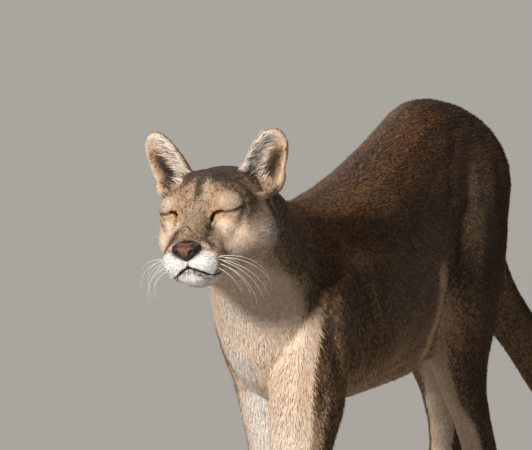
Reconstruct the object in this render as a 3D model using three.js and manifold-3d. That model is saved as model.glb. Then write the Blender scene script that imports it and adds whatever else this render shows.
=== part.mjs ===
import * as THREE from 'three';
import { mergeVertices } from 'three/addons/utils/BufferGeometryUtils.js';
import Module from 'manifold-3d';

// A standing cougar, life size, in millimetres: +X is the way its trunk points, +Y its left, +Z up.
// All sizes are taken over the coat. The body is modelled whole and parted with thin cuts.

const wasm = await Module();
wasm.setup();

// Trunk and neck, as heights on the line of the back and of the belly
const WITHERS_HEIGHT = 676;
const RUMP_HEIGHT = 752;
const NAPE_HEIGHT = 742;
const BRISKET_HEIGHT = 390;
const BELLY_HEIGHT = 372;
const CHEST_HALF_WIDTH = 104;
const HIP_HALF_WIDTH = 107;
const NECK_HALF_WIDTH = 69;
const BUTTOCK_X = -438;
const NECK_CUT = { at: [322, 4, 602], lean: 34 };

// Head, in its own frame: origin between the ears, +X to the nose, +Y to its left
const HEAD_AT = [489, 8, 694];
const HEAD_YAW = 5;
const HEAD_ROLL = 6.5;
const HEAD_CUT = { at: [422, 6, 668], lean: 22, yaw: 4 };
const HEAD_CENTRE = [24, 0, -12];
const EYE_AT = [61, 34.5, 15.5];
const EYE_RADIUS = 15.5;
const LID_THICKNESS = 3;
const EYE_TURN = 38;
const EYE_SLANT = 9;
const SLIT = [18, 19.5, 2.4];
const NOSE_AT = [136, 0, -25];
const MOUTH_HEIGHT = -49;
const MOUTH_WIDTH = 3;
const MOUTH_DEPTH = 8;
const EAR_BASE = [-16, 51, 34];
const EAR_LENGTH = { left: 76, right: 87 };
const EAR_HALF_WIDTH = 26.5;
const EAR_SPLAY = { left: 27, right: 32 };
const EAR_TURN = 20;

// Legs
const ELBOW_HEIGHT = 402;
const WRIST_HEIGHT = 160;
const STIFLE_HEIGHT = 428;
const HOCK_HEIGHT = 205;
const FORE_CUT = 374;
const HIND_CUT = 366;
const FORE_PAW_CUT = 62;
const HIND_PAW_CUT = 56;
const LEFT_FORE = { side: 1, shoulder: 26, elbow: 68, foot: 112, apart: 56 };
const RIGHT_FORE = { side: -1, shoulder: -10, elbow: -52, foot: -96, apart: 51 };
const LEFT_HIND = { side: 1, step: 40, knee: 0, apart: 61 };
const RIGHT_HIND = { side: -1, step: -112, knee: -50, apart: 49 };
const FORE_PAW = { length: 124, width: 92, height: 52 };
const HIND_PAW = { length: 118, width: 82, height: 48 };

// Tail
const TAIL_ROOT = [-404, -3, 662];
const TAIL_ROOT_RADIUS = 42;
const TAIL_END_RADIUS = 29;
const TAIL_ROOT_CUT = { at: [BUTTOCK_X - 14, 0, 600], lean: 0 };
const TAIL_MIDDLE_CUT = { at: [-570, 0, 450], lean: 46 };
const TAIL_END_CUT = { at: [-745, 20, 268], lean: 44 };

// Width of every cut between two nodes
const CUT = 0.3;

const COAT_BROWN = 0x9a7a58;
const COAT_TAWNY = 0xa8865f;
const COAT_CREAM = 0xc9ad8a;
const EAR_TAN = 0xb59a80;
const NOSE_PINK = 0x8d4a3c;
const EYE_DARK = 0x1c130d;
const TAIL_BROWN = 0x7c6148;

const BOX_REACH = 2000;
const SIDES = [{ side: 1, name: 'left' }, { side: -1, name: 'right' }];
const lerp = THREE.MathUtils.lerp;
const radians = THREE.MathUtils.degToRad;

// A closed triangle geometry as a solid, and a solid as a geometry.
function solidOf(geometry) {
  const shape = geometry.clone();
  shape.deleteAttribute('normal');
  shape.deleteAttribute('uv');
  const merged = mergeVertices(shape, 1e-4);
  const mesh = new wasm.Mesh({
    numProp: 3,
    vertProperties: new Float32Array(merged.attributes.position.array),
    triVerts: new Uint32Array(merged.index.array),
  });
  return new wasm.Manifold(mesh);
}

function geometryOf(solid) {
  const mesh = solid.getMesh();
  const geometry = new THREE.BufferGeometry();
  const position = new THREE.BufferAttribute(new Float32Array(mesh.vertProperties), 3);
  geometry.setAttribute('position', position);
  geometry.setIndex(Array.from(mesh.triVerts));
  return geometry;
}

function largest(solid) {
  const pieces = solid.decompose();
  return pieces.reduce((best, piece) => (piece.volume() > best.volume() ? piece : best));
}

function union(solids) {
  return solids.reduce((whole, solid) => whole.add(solid));
}

// A smooth curve through points, and the smooth value of a list of numbers at a share of its length.
function smoothCurve(points) {
  return new THREE.CatmullRomCurve3(points, false, 'catmullrom', 0.5);
}

function smoothValue(list, share) {
  return smoothCurve(list.map((value, index) => new THREE.Vector3(index, value, 0))).getPoint(share).y;
}

// A closed form of rings. `ringAt(share)` gives the middle of a ring, the unit vectors to its side
// and up, its half width and how far it reaches above and below the middle. The ends are rounded
// over `cap`, a share of the whole, and the rings stand closer there. `square` bends the upper and
// the lower half of a ring between an ellipse and a box.
function ringForm(ringAt, { sides, rings, cap, square = [2, 2] }) {
  const closer = 0.6 / (2 * Math.PI);
  const columns = sides + 1;
  const form = new THREE.SphereGeometry(1, sides, rings);
  const place = form.attributes.position;
  for (let ring = 0; ring <= rings; ring += 1) {
    const even = ring / rings;
    const share = even - closer * Math.sin(even * 2 * Math.PI);
    const { middle, side, up, wide, high, low } = ringAt(share);
    const fromEnd = Math.min(share, 1 - share) / cap;
    const full = fromEnd >= 1 ? 1 : Math.sqrt(1 - (1 - fromEnd) ** 2);
    for (let column = 0; column < columns; column += 1) {
      const turn = column / sides * Math.PI * 2;
      const right = -Math.cos(turn);
      const rise = Math.sin(turn);
      const power = 2 / (rise > 0 ? square[0] : square[1]);
      const x = Math.sign(right) * Math.abs(right) ** power * wide * full;
      const y = Math.sign(rise) * Math.abs(rise) ** power * (rise > 0 ? high : low) * full;
      const point = middle.clone().addScaledVector(side, x).addScaledVector(up, y);
      place.setXYZ(ring * columns + column, point.x, point.y, point.z);
    }
  }
  return form;
}

// A form swept along the middles of its stations.
function sweep(stations, { sides = 18, rings = 14, cap = 0.12 } = {}) {
  const path = smoothCurve(stations.map((station) => new THREE.Vector3(...station.at)));
  const sizes = ['wide', 'high', 'low'].map((key) => stations.map((station) => station[key]));
  const across = new THREE.Vector3(0, 1, 0);
  return ringForm((share) => {
    const along = path.getTangent(share);
    const side = across.clone().addScaledVector(along, -across.dot(along)).normalize();
    const up = new THREE.Vector3().crossVectors(along, side);
    const [wide, high, low] = sizes.map((list) => smoothValue(list, share));
    return { middle: path.getPoint(share), side, up, wide, high, low };
  }, { sides, rings, cap });
}

// A form lofted between two lines seen from the side: the line of the back or of a leg's front,
// `fore`, and the line of the belly or of a leg's rear, `rear`, each an [x, z] at every station.
// `level` is the share from rear to fore at which the station is widest.
function loft(stations, { sides = 18, rings = 20, cap = 0.08, square } = {}) {
  const line = (key) => smoothCurve(stations.map((station) => (
    new THREE.Vector3(station[key][0], station.y, station[key][1])
  )));
  const [fore, rear] = [line('fore'), line('rear')];
  const widths = stations.map((station) => station.wide);
  const levels = stations.map((station) => station.level ?? 0.5);
  const side = new THREE.Vector3(0, 1, 0);
  return ringForm((share) => {
    const bottom = rear.getPoint(share);
    const up = fore.getPoint(share).sub(bottom);
    const level = smoothValue(levels, share);
    const middle = bottom.addScaledVector(up, level);
    const deep = up.length();
    up.normalize();
    const wide = smoothValue(widths, share);
    return { middle, side, up, wide, high: deep * (1 - level), low: deep * level };
  }, { sides, rings, cap, square });
}

// A rounded mass with its three half sizes, turned in degrees about Z, then Y, then X.
function mass(at, half, { turn = [0, 0, 0], sides = 14, rings = 9 } = {}) {
  const form = new THREE.SphereGeometry(1, sides, rings);
  form.rotateX(Math.PI / 2);
  form.scale(...half);
  const order = new THREE.Euler(...turn.map(radians), 'ZYX');
  form.applyMatrix4(new THREE.Matrix4().makeRotationFromEuler(order));
  form.translate(...at);
  return solidOf(form);
}

// How far a point is outside a rounded lump, less than zero inside it. `dip` leans the lump's
// front end down.
function gapTo(point, { at, half, dip = 0 }) {
  const offset = point.clone().sub(new THREE.Vector3(...at));
  offset.applyAxisAngle(new THREE.Vector3(0, 1, 0), -radians(dip));
  const size = new THREE.Vector3(...half);
  const inSizes = offset.clone().divide(size).length();
  const steepness = offset.divide(size).divide(size).length();
  return inSizes * (inSizes - 1) / steepness;
}

// One skin round several lumps, as clay pressed together: `soft` is how far two lumps run into
// each other. The skin is seen from `from` in every direction, its grid closest at the front.
function skinOver(lumps, { from, soft, sides, rings, grow = 0 }) {
  const mirrored = lumps.filter((lump) => lump.both).map((lump) => (
    { ...lump, at: [lump.at[0], -lump.at[1], lump.at[2]] }
  ));
  const all = [...lumps, ...mirrored].map((lump) => (
    { ...lump, half: lump.half.map((value) => value + grow) }
  ));
  const gap = (point) => all.map((lump) => gapTo(point, lump)).reduce((a, b) => {
    const near = Math.max(soft - Math.abs(a - b), 0) / soft;
    return Math.min(a, b) - near * near * soft / 4;
  });
  const centre = new THREE.Vector3(...from);
  const columns = sides + 1;
  const form = new THREE.SphereGeometry(1, sides, rings);
  const place = form.attributes.position;
  for (let ring = 0; ring <= rings; ring += 1) {
    const turn = Math.PI * (1 - (1 - ring / rings) ** 1.25);
    for (let column = 0; column < columns; column += 1) {
      const round = column / sides * Math.PI * 2;
      const across = new THREE.Vector2(-Math.cos(round), Math.sin(round));
      across.multiplyScalar(Math.sin(turn));
      const ray = new THREE.Vector3(-Math.cos(turn), across.x, across.y);
      let far = 200;
      for (let step = 0; step < 60; step += 1) {
        far -= 0.6 * gap(centre.clone().addScaledVector(ray, far));
      }
      const point = centre.clone().addScaledVector(ray, far);
      place.setXYZ(ring * columns + column, point.x, point.y, point.z);
    }
  }
  return form;
}

// Pushes the vertices of a form near a point, as a thumb does clay. Each stroke has its place
// `at`, its `reach` and the `push` at its middle, and `both` repeats it on the other side.
function sculpt(form, strokes) {
  const mirrored = strokes.filter((stroke) => stroke.both).map(({ at, reach, push }) => ({
    at: [at[0], -at[1], at[2]], reach, push: [push[0], -push[1], push[2]],
  }));
  const place = form.attributes.position;
  const before = form.clone().attributes.position;
  for (let index = 0; index < place.count; index += 1) {
    const point = new THREE.Vector3().fromBufferAttribute(before, index);
    const moved = point.clone();
    for (const { at, reach, push } of [...strokes, ...mirrored]) {
      const near = 1 - point.distanceTo(new THREE.Vector3(...at)) / reach;
      if (near > 0) moved.addScaledVector(new THREE.Vector3(...push), near * near * (3 - 2 * near));
    }
    place.setXYZ(index, moved.x, moved.y, moved.z);
  }
  return form;
}

// A block from one corner to the other, for cutting.
function block(from, to, matrix) {
  const size = to.map((value, index) => value - from[index]);
  const form = new THREE.BoxGeometry(...size);
  form.translate(...from.map((value, index) => value + size[index] / 2));
  if (matrix) form.applyMatrix4(matrix);
  return solidOf(form);
}

// A frame at a point whose +X leans up by `lean` degrees and is turned by `yaw`.
function leaning({ at, lean, yaw = 0 }) {
  const turn = new THREE.Euler(0, radians(-lean), radians(yaw), 'ZYX');
  return new THREE.Matrix4().makeRotationFromEuler(turn).setPosition(...at);
}

// Cuts a solid on a leaning plane: what lies ahead of it and what lies behind.
function part(solid, plane) {
  const frame = leaning(plane);
  const ahead = block([CUT / 2, -BOX_REACH, -BOX_REACH], [BOX_REACH, BOX_REACH, BOX_REACH], frame);
  const behind = block([-BOX_REACH, -BOX_REACH, -BOX_REACH], [-CUT / 2, BOX_REACH, BOX_REACH], frame);
  return [solid.intersect(ahead), solid.intersect(behind)];
}

// Takes the piece of a solid inside a block and leaves the rest, a cut's width away.
function takeOut(solid, from, to, matrix) {
  const wider = [from.map((value) => value - CUT), to.map((value) => value + CUT)];
  return [solid.intersect(block(from, to, matrix)), solid.subtract(block(...wider, matrix))];
}

// A solid moved by a matrix.
function placed(solid, matrix) {
  return solidOf(geometryOf(solid).applyMatrix4(matrix));
}

// Trunk and neck in one, from the buttocks over loin, withers and chest up into the head
function trunkForm() {
  return loft([
    { fore: [BUTTOCK_X, 650], rear: [BUTTOCK_X + 8, 520], y: 0, wide: 60, level: 0.56 },
    { fore: [-384, 716], rear: [-384, 468], y: 0, wide: 90, level: 0.62 },
    { fore: [-310, RUMP_HEIGHT - 4], rear: [-310, 424], y: -2, wide: HIP_HALF_WIDTH, level: 0.6 },
    { fore: [-190, RUMP_HEIGHT + 4], rear: [-190, BELLY_HEIGHT], y: 4, wide: 76, level: 0.52 },
    { fore: [-60, 724], rear: [-60, BELLY_HEIGHT + 2], y: 9, wide: 79, level: 0.47 },
    { fore: [70, 692], rear: [70, BRISKET_HEIGHT - 8], y: 9, wide: 93, level: 0.43 },
    { fore: [180, WITHERS_HEIGHT], rear: [172, BRISKET_HEIGHT], y: 6, wide: CHEST_HALF_WIDTH, level: 0.4 },
    { fore: [246, 678], rear: [280, 410], y: 3, wide: 90, level: 0.44 },
    { fore: [292, 688], rear: [352, 462], y: 3, wide: 75, level: 0.48 },
    { fore: [340, 708], rear: [390, 532], y: 5, wide: NECK_HALF_WIDTH, level: 0.5 },
    { fore: [386, 728], rear: [424, 582], y: 8, wide: NECK_HALF_WIDTH, level: 0.5 },
    { fore: [430, NAPE_HEIGHT], rear: [462, 616], y: 10, wide: NECK_HALF_WIDTH - 3, level: 0.5 },
    { fore: [474, NAPE_HEIGHT], rear: [492, 646], y: 10, wide: 56, level: 0.5 },
  ], { sides: 24, rings: 32, cap: 0.045, square: [1.95, 2.05] });
}

// Haunches, which fill the trunk's sides out over the hips
function haunches() {
  return [1, -1].map((side) => mass([-300, side * 41, 612], [100, 64, 104]));
}

// Fore leg: shoulder, upper arm, forearm, wrist and pastern. `step` is how far each part is
// carried ahead of the plain standing leg.
function foreLegForm({ side, shoulder, elbow, foot, apart }) {
  return loft([
    { fore: [246, 644], rear: [178, 644], wide: 22, spread: 0.84, step: shoulder },
    { fore: [318, 545], rear: [162, 556], wide: 44, spread: 1.1, step: shoulder },
    { fore: [322, 476], rear: [174, 478], wide: 49, spread: 1, step: (shoulder + elbow) / 2 },
    { fore: [298, 418], rear: [170, ELBOW_HEIGHT + 4], wide: 49, spread: 0.95, step: elbow },
    { fore: [288, 372], rear: [184, 370], wide: 44, spread: 0.9, step: lerp(elbow, foot, 0.12) },
    { fore: [280, 310], rear: [204, 312], wide: 37, spread: 0.86, step: lerp(elbow, foot, 0.4) },
    { fore: [277, 236], rear: [220, 238], wide: 31, spread: 0.84, step: lerp(elbow, foot, 0.72) },
    { fore: [285, WRIST_HEIGHT + 12], rear: [225, WRIST_HEIGHT + 6], wide: 31, spread: 0.82, step: foot },
    { fore: [286, 130], rear: [230, 126], wide: 30, spread: 0.82, step: foot },
    { fore: [296, 88], rear: [236, 82], wide: 31, spread: 0.82, step: foot },
    { fore: [332, 34], rear: [240, 18], wide: 38, spread: 0.82, step: foot },
  ].map(({ fore, rear, wide, spread, step }) => ({
    fore: [fore[0] + step, fore[1]], rear: [rear[0] + step, rear[1]], y: side * apart * spread, wide,
  })), { sides: 14, rings: 24, cap: 0.06 });
}

// Hind leg: thigh, stifle, shank, hock and instep. `share` is the part of the step that each
// height takes, and `bow` its part of how far the knee is carried back.
function hindLegForm({ side, step, knee, apart }) {
  return loft([
    { fore: [-236, 668], rear: [-396, 668], wide: 40, spread: 0.76, share: 0, bow: 0 },
    { fore: [-182, 580], rear: [-404, 584], wide: 52, spread: 0.89, share: 0.04, bow: 0.1 },
    { fore: [-160, 500], rear: [-388, 500], wide: 51, spread: 0.96, share: 0.16, bow: 0.4 },
    { fore: [-182, STIFLE_HEIGHT], rear: [-354, 424], wide: 46, spread: 1, share: 0.44, bow: 0.9 },
    { fore: [-228, 362], rear: [-340, 352], wide: 35, spread: 1, share: 0.7, bow: 1 },
    { fore: [-296, 290], rear: [-368, 284], wide: 27, spread: 1.03, share: 0.84, bow: 0.8 },
    { fore: [-345, 222], rear: [-405, 226], wide: 25, spread: 1.04, share: 0.94, bow: 0.3 },
    { fore: [-350, 171], rear: [-408, HOCK_HEIGHT - 10], wide: 26, spread: 1.04, share: 0.96, bow: 0.15 },
    { fore: [-344, 118], rear: [-394, 122], wide: 25, spread: 1.02, share: 1, bow: 0 },
    { fore: [-330, 72], rear: [-384, 72], wide: 27, spread: 1, share: 1, bow: 0 },
    { fore: [-296, 32], rear: [-380, 18], wide: 34, spread: 1, share: 1, bow: 0 },
  ].map(({ fore, rear, wide, spread, share, bow }) => {
    const carried = step * share + knee * bow;
    return {
      fore: [fore[0] + carried, fore[1]],
      rear: [rear[0] + carried, rear[1]],
      y: side * apart * spread,
      wide,
    };
  }), { sides: 14, rings: 24, cap: 0.06 });
}

// Paw: a low pad with four toes in an arc
function pawSolid(heelX, y, { length, width, height }) {
  const toes = [-1.5, -0.5, 0.5, 1.5].map((slot) => {
    const outer = Math.abs(slot) > 1 ? 1 : 0;
    const reach = heelX + length - 35 - outer * 14;
    const across = y + slot * width * 0.235;
    return mass([reach, across, height * 0.36], [35, width * 0.15, height * 0.5], {
      turn: [0, 10, slot * 5], sides: 8, rings: 6,
    });
  });
  const padHalf = [length * 0.4, width * 0.43, height * 0.7];
  const pad = mass([heelX + length * 0.42, y, height * 0.4], padHalf, { sides: 12, rings: 7 });
  return union([pad, ...toes]);
}

// Tail: down behind the thighs, then out to its blunt end
function tailForm() {
  const route = [
    [70, 0, 6], [0, 0, 0], [-50, 0, -80], [-98, 1, -172], [-165, 6, -250],
    [-256, 14, -322], [-342, 24, -400], [-420, 34, -468], [-492, 42, -504],
  ];
  const stations = route.map(([x, y, z], index) => {
    const radius = lerp(TAIL_ROOT_RADIUS, TAIL_END_RADIUS, index / (route.length - 1));
    const at = [TAIL_ROOT[0] + x, TAIL_ROOT[1] + y, TAIL_ROOT[2] + z];
    return { at, wide: radius, high: radius, low: radius };
  });
  return sweep(stations, { sides: 14, rings: 30, cap: 0.05 });
}

// Head: one skin over skull, cheeks, bridge, whisker pads, jaw and lids, with the face pressed in
function skullForm() {
  const lid = EYE_RADIUS + LID_THICKNESS;
  const form = skinOver([
    { at: [-24, 0, 10], half: [64, 60, 50] },
    { at: [30, 0, 17], half: [46, 46, 40] },
    { at: [0, 42, -20], half: [57, 35, 43], both: true },
    { at: [44, 40, 14], half: [30, 20, 24], both: true },
    { at: [44, 32, -28], half: [44, 28, 34], both: true },
    { at: [82, 20, -34], half: [40, 22, 30], both: true },
    { at: [83, 0, -5], half: [60, 19, 21], dip: 22 },
    { at: [113, 17, -42], half: [28, 20.5, 23], both: true },
    { at: [77, 0, -62], half: [52, 24, 18] },
    { at: [8, 0, -42], half: [64, 42, 34] },
    { at: EYE_AT, half: [lid, lid, lid - 1], both: true },
  ], { from: HEAD_CENTRE, soft: 16, sides: 36, rings: 32 });
  return sculpt(form, [
    { at: [86, 24, 2], reach: 18, push: [-3, -2, -2], both: true },
    { at: [60, 26, 44], reach: 24, push: [4, 2, 4], both: true },
    { at: [62, 0, 48], reach: 24, push: [-2, 0, -4] },
    { at: [-8, 38, 48], reach: 30, push: [0, 2, 8], both: true },
    { at: [74, 44, -8], reach: 20, push: [-3, -3, 0], both: true },
    { at: [150, 0, -58], reach: 22, push: [-5, 0, 0] },
  ]);
}

// Line of the mouth: a thin groove from one corner, down round the whisker pads, to the other
function mouthGroove() {
  const points = [
    [66, -43, -12], [88, -42, -13], [110, -40, -13], [128, -31, -11], [139, -17, -6], [140, 0, 0],
  ].map(([x, y, drop]) => new THREE.Vector3(x, y, MOUTH_HEIGHT + drop));
  const mirrored = points.slice(0, -1).reverse().map((point) => point.clone().setY(-point.y));
  const path = new THREE.CatmullRomCurve3([...points, ...mirrored]);
  const section = new THREE.Shape();
  section.moveTo(-MOUTH_WIDTH / 2, -MOUTH_DEPTH);
  section.lineTo(MOUTH_WIDTH / 2, -MOUTH_DEPTH);
  section.lineTo(MOUTH_WIDTH / 2, MOUTH_DEPTH);
  section.lineTo(-MOUTH_WIDTH / 2, MOUTH_DEPTH);
  return solidOf(new THREE.ExtrudeGeometry(section, { extrudePath: path, steps: 24 }));
}

// Nose leather: a heart of two wings and a lower point. `grow` makes its bed in the muzzle.
function noseSolid(grow = 0) {
  const [x, y, z] = NOSE_AT;
  return solidOf(skinOver([
    { at: [x - 2, y + 9, z + 2], half: [12, 11, 8], both: true },
    { at: [x - 1, y, z - 4], half: [11, 8, 10] },
  ], { from: [x - 2, y, z - 1], soft: 6, sides: 16, rings: 11, grow }));
}

function nostrils() {
  const [x, , z] = NOSE_AT;
  return union([1, -1].flatMap((side) => [
    mass([x + 10, side * 9, z - 2], [7, 4.6, 3.2], { turn: [side * 25, 0, 0], sides: 8, rings: 5 }),
    mass([x + 5, side * 17, z - 1], [6, 5.5, 2], { turn: [side * -20, 0, 0], sides: 8, rings: 4 }),
  ]));
}

// Ear: a leaf with its cup scooped out and a small lobe low on its outer edge, standing on the skull
function earSolid(length, side) {
  const ear = sweep([
    { at: [0, 0, -20], wide: 27, high: 18, low: 20 },
    { at: [0, 0, 6], wide: EAR_HALF_WIDTH, high: 19, low: 23 },
    { at: [-2, 0, 0.41 * length], wide: EAR_HALF_WIDTH, high: 14, low: 19 },
    { at: [-3, 0, 0.74 * length], wide: 22, high: 7, low: 12 },
    { at: [-4, 0, length], wide: 11, high: 4, low: 6 },
  ], { sides: 18, rings: 12, cap: 0.14 });
  const cup = sweep([
    { at: [22, 0, -8], wide: 10, high: 18, low: 10 },
    { at: [14, 0, 0.13 * length], wide: 23, high: 24, low: 18 },
    { at: [9, 0, 0.44 * length], wide: 25, high: 17, low: 18 },
    { at: [5, 0, 0.72 * length], wide: 17, high: 9, low: 14 },
    { at: [3, 0, 0.92 * length], wide: 9, high: 4, low: 10 },
  ], { sides: 14, rings: 9, cap: 0.16 });
  const lobe = mass([3, side * 24, 13], [8, 8.5, 17], { sides: 10, rings: 7 });
  return solidOf(ear).subtract(solidOf(cup)).add(lobe);
}

function earFrame({ side, name }) {
  const turn = new THREE.Euler(-side * radians(EAR_SPLAY[name]), 0, side * radians(EAR_TURN), 'ZYX');
  const place = new THREE.Matrix4().makeRotationFromEuler(turn);
  return place.setPosition(EAR_BASE[0], side * EAR_BASE[1], EAR_BASE[2]);
}

// Closed eye: the ball behind its lids, and the slit between them
function eyeBall(side, radius) {
  const centre = [EYE_AT[0], side * EYE_AT[1], EYE_AT[2]];
  return mass(centre, [radius, radius, radius], { sides: 12, rings: 8 });
}

function eyeSlit(side) {
  const turn = new THREE.Euler(side * radians(EYE_SLANT), 0, side * radians(EYE_TURN), 'ZYX');
  const outward = new THREE.Matrix4().makeRotationFromEuler(turn);
  outward.setPosition(EYE_AT[0], side * EYE_AT[1], EYE_AT[2]);
  return placed(mass([12, 0, -2], SLIT, { sides: 16, rings: 6 }), outward);
}

function headFrame() {
  const turn = new THREE.Euler(radians(HEAD_ROLL), 0, radians(HEAD_YAW), 'ZYX');
  return new THREE.Matrix4().makeRotationFromEuler(turn).setPosition(...HEAD_AT);
}

function headSolid() {
  const ears = SIDES.map((half) => placed(earSolid(EAR_LENGTH[half.name], half.side), earFrame(half)));
  return union([solidOf(skullForm()), ...ears]);
}

function bodySolid(tailRoot) {
  const foreLimbs = [LEFT_FORE, RIGHT_FORE].flatMap((leg) => [
    solidOf(foreLegForm(leg)),
    pawSolid(232 + leg.foot, leg.side * leg.apart * 0.82, FORE_PAW),
  ]);
  const hindLimbs = [LEFT_HIND, RIGHT_HIND].flatMap((leg) => [
    solidOf(hindLegForm(leg)),
    pawSolid(-384 + leg.step, leg.side * leg.apart, HIND_PAW),
  ]);
  const limbs = [...foreLimbs, ...hindLimbs];
  const whole = union([solidOf(trunkForm()), ...haunches(), tailRoot, ...limbs]);
  const aboveFloor = block([-BOX_REACH, -BOX_REACH, 0], [BOX_REACH, BOX_REACH, BOX_REACH]);
  return whole.add(placed(headSolid(), headFrame())).intersect(aboveFloor);
}

function addPiece(group, name, solid, colour, roughness = 0.9) {
  const material = new THREE.MeshStandardMaterial({ color: colour, roughness, metalness: 0 });
  const piece = new THREE.Mesh(geometryOf(largest(solid)), material);
  piece.name = name;
  group.add(piece);
}

// Head with its nose, eyes and ears, cut from the body ahead of the neck
function addHead(cougar, solid) {
  const frame = headFrame();
  const own = (form) => placed(form, frame);
  let head = solid.subtract(own(mouthGroove())).subtract(own(noseSolid(CUT)));
  addPiece(cougar, 'nose', own(noseSolid().subtract(nostrils())), NOSE_PINK, 0.55);
  for (const { side, name } of SIDES) {
    const socket = eyeBall(side, EYE_RADIUS + CUT).add(eyeSlit(side));
    head = head.subtract(own(socket));
    addPiece(cougar, `eye_${name}`, own(eyeBall(side, EYE_RADIUS)), EYE_DARK, 0.2);
    const above = frame.clone().multiply(earFrame({ side, name }));
    let ear;
    [ear, head] = takeOut(head, [-60, -45, 10], [60, 45, 140], above);
    addPiece(cougar, `ear_${name}`, ear, EAR_TAN);
  }
  addPiece(cougar, 'head', head, COAT_TAWNY);
}

// A leg's pieces: parted at the elbow or stifle, at the wrist or hock, and above the paw
function addLeg(cougar, limb, names, heights) {
  const [upper, paw] = part(limb, { at: [0, 0, heights.paw], lean: 90 });
  const [long, short] = part(upper, { at: [0, 0, heights.joint], lean: 90 });
  addPiece(cougar, names[0], long, COAT_TAWNY);
  addPiece(cougar, names[1], short, COAT_TAWNY);
  addPiece(cougar, names[2], paw, COAT_CREAM);
}

function buildCougar() {
  const cougar = new THREE.Group();
  cougar.name = 'cougar';
  const [root, tail] = part(solidOf(tailForm()), TAIL_ROOT_CUT);
  const [upperTail, lowerTail] = part(tail, TAIL_MIDDLE_CUT);
  const [middleTail, endTail] = part(lowerTail, TAIL_END_CUT);
  addPiece(cougar, 'tail_root', upperTail, TAIL_BROWN);
  addPiece(cougar, 'tail_middle', middleTail, TAIL_BROWN);
  addPiece(cougar, 'tail_end', endTail, TAIL_BROWN);

  let rest = bodySolid(root);
  let piece;
  [piece, rest] = part(rest, HEAD_CUT);
  addHead(cougar, piece);
  [piece, rest] = part(rest, NECK_CUT);
  addPiece(cougar, 'neck', piece, COAT_CREAM);
  for (const { side, name } of SIDES) {
    const outward = (near) => [near * side, BOX_REACH * side].sort((a, b) => a - b);
    const [inner, outer] = outward(0);
    [piece, rest] = takeOut(rest, [90, inner, -10], [BOX_REACH, outer, FORE_CUT]);
    addLeg(cougar, piece, [`forearm_${name}`, `fore_pastern_${name}`, `fore_paw_${name}`],
      { joint: WRIST_HEIGHT, paw: FORE_PAW_CUT });
    const [armEdge, armEnd] = outward(56);
    [piece, rest] = takeOut(rest, [110, armEdge, FORE_CUT + CUT], [BOX_REACH, armEnd, 600]);
    addPiece(cougar, `upper_arm_${name}`, piece, COAT_BROWN);
    [piece, rest] = takeOut(rest, [-BOX_REACH, inner, -10], [-120, outer, HIND_CUT]);
    addLeg(cougar, piece, [`shank_${name}`, `metatarsus_${name}`, `hind_paw_${name}`],
      { joint: HOCK_HEIGHT, paw: HIND_PAW_CUT });
    const [thighEdge, thighEnd] = outward(46);
    [piece, rest] = takeOut(rest, [-BOX_REACH, thighEdge, HIND_CUT + CUT], [-160, thighEnd, 640]);
    addPiece(cougar, `thigh_${name}`, piece, COAT_BROWN);
  }
  addPiece(cougar, 'torso', rest, COAT_BROWN);

  // The origin is on the floor, under the middle of the whole animal
  const box = new THREE.Box3().setFromObject(cougar);
  cougar.position.set(-(box.min.x + box.max.x) / 2, -(box.min.y + box.max.y) / 2, 0);
  return cougar;
}

export default buildCougar();
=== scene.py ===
"""A life-size museum model of a standing cougar: one skin, its coat, the face and the studio."""

import math
from types import SimpleNamespace

import bmesh
import bpy
import numpy as np
from mathutils import Euler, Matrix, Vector
from mathutils.bvhtree import BVHTree


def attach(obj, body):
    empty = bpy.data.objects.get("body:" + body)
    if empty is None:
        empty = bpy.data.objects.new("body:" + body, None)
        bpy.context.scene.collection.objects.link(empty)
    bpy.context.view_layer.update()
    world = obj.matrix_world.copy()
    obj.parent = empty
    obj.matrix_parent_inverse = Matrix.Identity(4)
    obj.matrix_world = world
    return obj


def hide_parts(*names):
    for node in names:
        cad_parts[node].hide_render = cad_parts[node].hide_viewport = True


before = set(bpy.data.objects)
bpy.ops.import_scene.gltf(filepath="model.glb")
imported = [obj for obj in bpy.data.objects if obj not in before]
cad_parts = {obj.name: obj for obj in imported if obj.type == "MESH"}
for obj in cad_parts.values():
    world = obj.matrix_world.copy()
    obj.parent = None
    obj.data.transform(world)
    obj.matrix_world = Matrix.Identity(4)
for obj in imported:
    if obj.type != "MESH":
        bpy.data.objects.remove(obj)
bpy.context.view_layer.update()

# The view of the photograph: a place, a turn and rise in degrees, and a lens
LOOK_AT = Vector((0.351, -0.0403, 0.639))
VIEW_TURN = 23
VIEW_RISE = 9
VIEW_DISTANCE = 6.2
LENS_MM = 312.63
SENSOR_MM = 36.0

# Lamps: turn and rise in degrees of the side they shine from, strength, softness and colour
LAMPS = {
    "key": (-3, 22, 4.6, 6, (1.0, 0.95, 0.88)),
    "fill": (-150, 42, 0.9, 25, (0.95, 0.97, 1.0)),
}
SKY_COLOUR = (0.98, 0.95, 0.9, 1)
SKY_STRENGTH = 0.085
FLOOR_HALF = 40
FLOOR_TONES = ((0.47, 0.46, 0.44, 1), (0.5, 0.49, 0.47, 1))

# The head's own frame: +X out through the nose, +Y to the cougar's left, +Z up through the crown
HEAD_AT = np.array((0.61997, 0.00765, 0.694))
HEAD_TURN = np.array(Euler((math.radians(6.5), 0, math.radians(5)), "ZYX").to_matrix())
SIDES = {"left": 1, "right": -1}
EYE_AT = (61, 34.5, 15.5)
LIDS_RADIUS = 17.4
EAR_AT = (-16, 51, 34)
EAR_SPLAY = {"left": 27, "right": 32}
EAR_LENGTH = {"left": 76, "right": 87}
EAR_TURN = 20
EAR_FOOT = 40

# Sizes of the skin, coat and nose pad in metres
MM = 0.001
VOXEL = 3.0 * MM
NOSE_VOXEL = 0.7 * MM
OVERLAP = 0.6 * MM
ROOT_DEPTH = 0.4 * MM
LOWEST_HAIR = 0.4 * MM
SKIN_TRIANGLES = 96000
SEED = 20240611

EYES = ("eye_left", "eye_right")

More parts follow.
